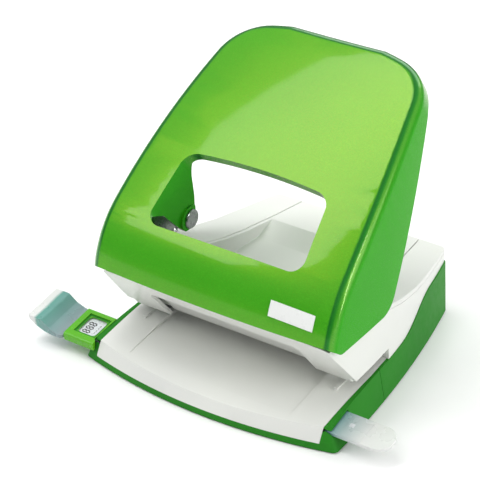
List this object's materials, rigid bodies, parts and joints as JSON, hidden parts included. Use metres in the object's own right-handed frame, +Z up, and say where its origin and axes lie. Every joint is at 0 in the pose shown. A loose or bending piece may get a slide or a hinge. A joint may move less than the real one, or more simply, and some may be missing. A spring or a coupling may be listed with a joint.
{
  "type": "hole punch",
  "caption": "Two-hole desk punch: pressed lever with a window, white housing on a green base, sliding paper guide with a format window, and a hinged chip cover.",
  "frame": {"origin": "on the table under the middle of the base, midway between the two punches in X", "axes": "+Z up; the paper goes in from -Y; +X to the right of someone in front of the paper slot"},
  "size_m": [0.1504, 0.1105, 0.1102],
  "materials": {
    "lever_paint": "metallic lime green lacquer",
    "base_green": "satin green moulding",
    "frame_green": "glossy lime green moulding",
    "white_shell": "satin white moulding",
    "clear_guide": "clear tinted moulding",
    "label": "silver-white printed film",
    "steel": "turned and ground steel",
    "zinc_plate": "zinc-plated pressed steel",
    "spring_steel": "bright spring wire",
    "rubber": "black rubber",
    "tray": "translucent grey moulding"
  },
  "bodies": {
    "root": {"base_front": "base_green", "base_rear": "base_green", "rubber_skirt": "rubber", "paper_plate": "white_shell", "housing": "white_shell", "throat_guide": "white_shell", "paper_stop": "white_shell", "die_plate": "zinc_plate", "guide_frame": "frame_green", "cover_hinge_pin": "steel", "chassis_screws": "steel", "centre_cover": "white_shell", "tower_cap_left": "white_shell", "side_bracket_left": "zinc_plate", "punch_guide_left": "zinc_plate", "return_spring_left": "spring_steel", "die_bush_left": "steel", "tower_cap_right": "white_shell", "side_bracket_right": "zinc_plate", "punch_guide_right": "zinc_plate", "return_spring_right": "spring_steel", "die_bush_right": "steel"},
    "lever": {"lever": "lever_paint", "label_badge": "label", "fulcrum_axle": "steel", "drive_pin_left": "steel", "drive_pin_right": "steel", "axle_clip_left": "spring_steel", "axle_clip_right": "spring_steel"},
    "punch_left": {"punch_left": "steel"},
    "punch_right": {"punch_right": "steel"},
    "guide": {"guide_bar": "clear_guide", "format_strip": "label"},
    "chip_cover": {"chip_cover": "tray"}
  },
  "joints": [
    {"name": "lever_hinge", "type": "hinge", "parent": "root", "child": "lever", "pos_m": [0, -0.04, 0.041], "axis": [-1, 0, 0], "range_deg": [0, 19], "stiffness_Nm_per_rad": 1.5, "springref_deg": -8.59},
    {"name": "punch_slide_left", "type": "slide", "parent": "root", "child": "punch_left", "axis": [0, 0, -1], "range_m": [0, 0.009], "deforming": ["return_spring_left"]},
    {"name": "punch_slide_right", "type": "slide", "parent": "root", "child": "punch_right", "axis": [0, 0, -1], "range_m": [0, 0.009], "deforming": ["return_spring_right"]},
    {"name": "guide_slide", "type": "slide", "parent": "root", "child": "guide", "axis": [-1, 0, 0], "range_m": [0, 0.08]},
    {"name": "chip_cover_hinge", "type": "hinge", "parent": "root", "child": "chip_cover", "pos_m": [0, 0.047, 0.0046], "axis": [1, 0, 0], "range_deg": [0, 60]}
  ],
  "couplings": [
    {"joint": "punch_slide_left", "follows": "lever_hinge", "m_per_rad": 0.0269},
    {"joint": "punch_slide_right", "follows": "lever_hinge", "m_per_rad": 0.0269}
  ]
}
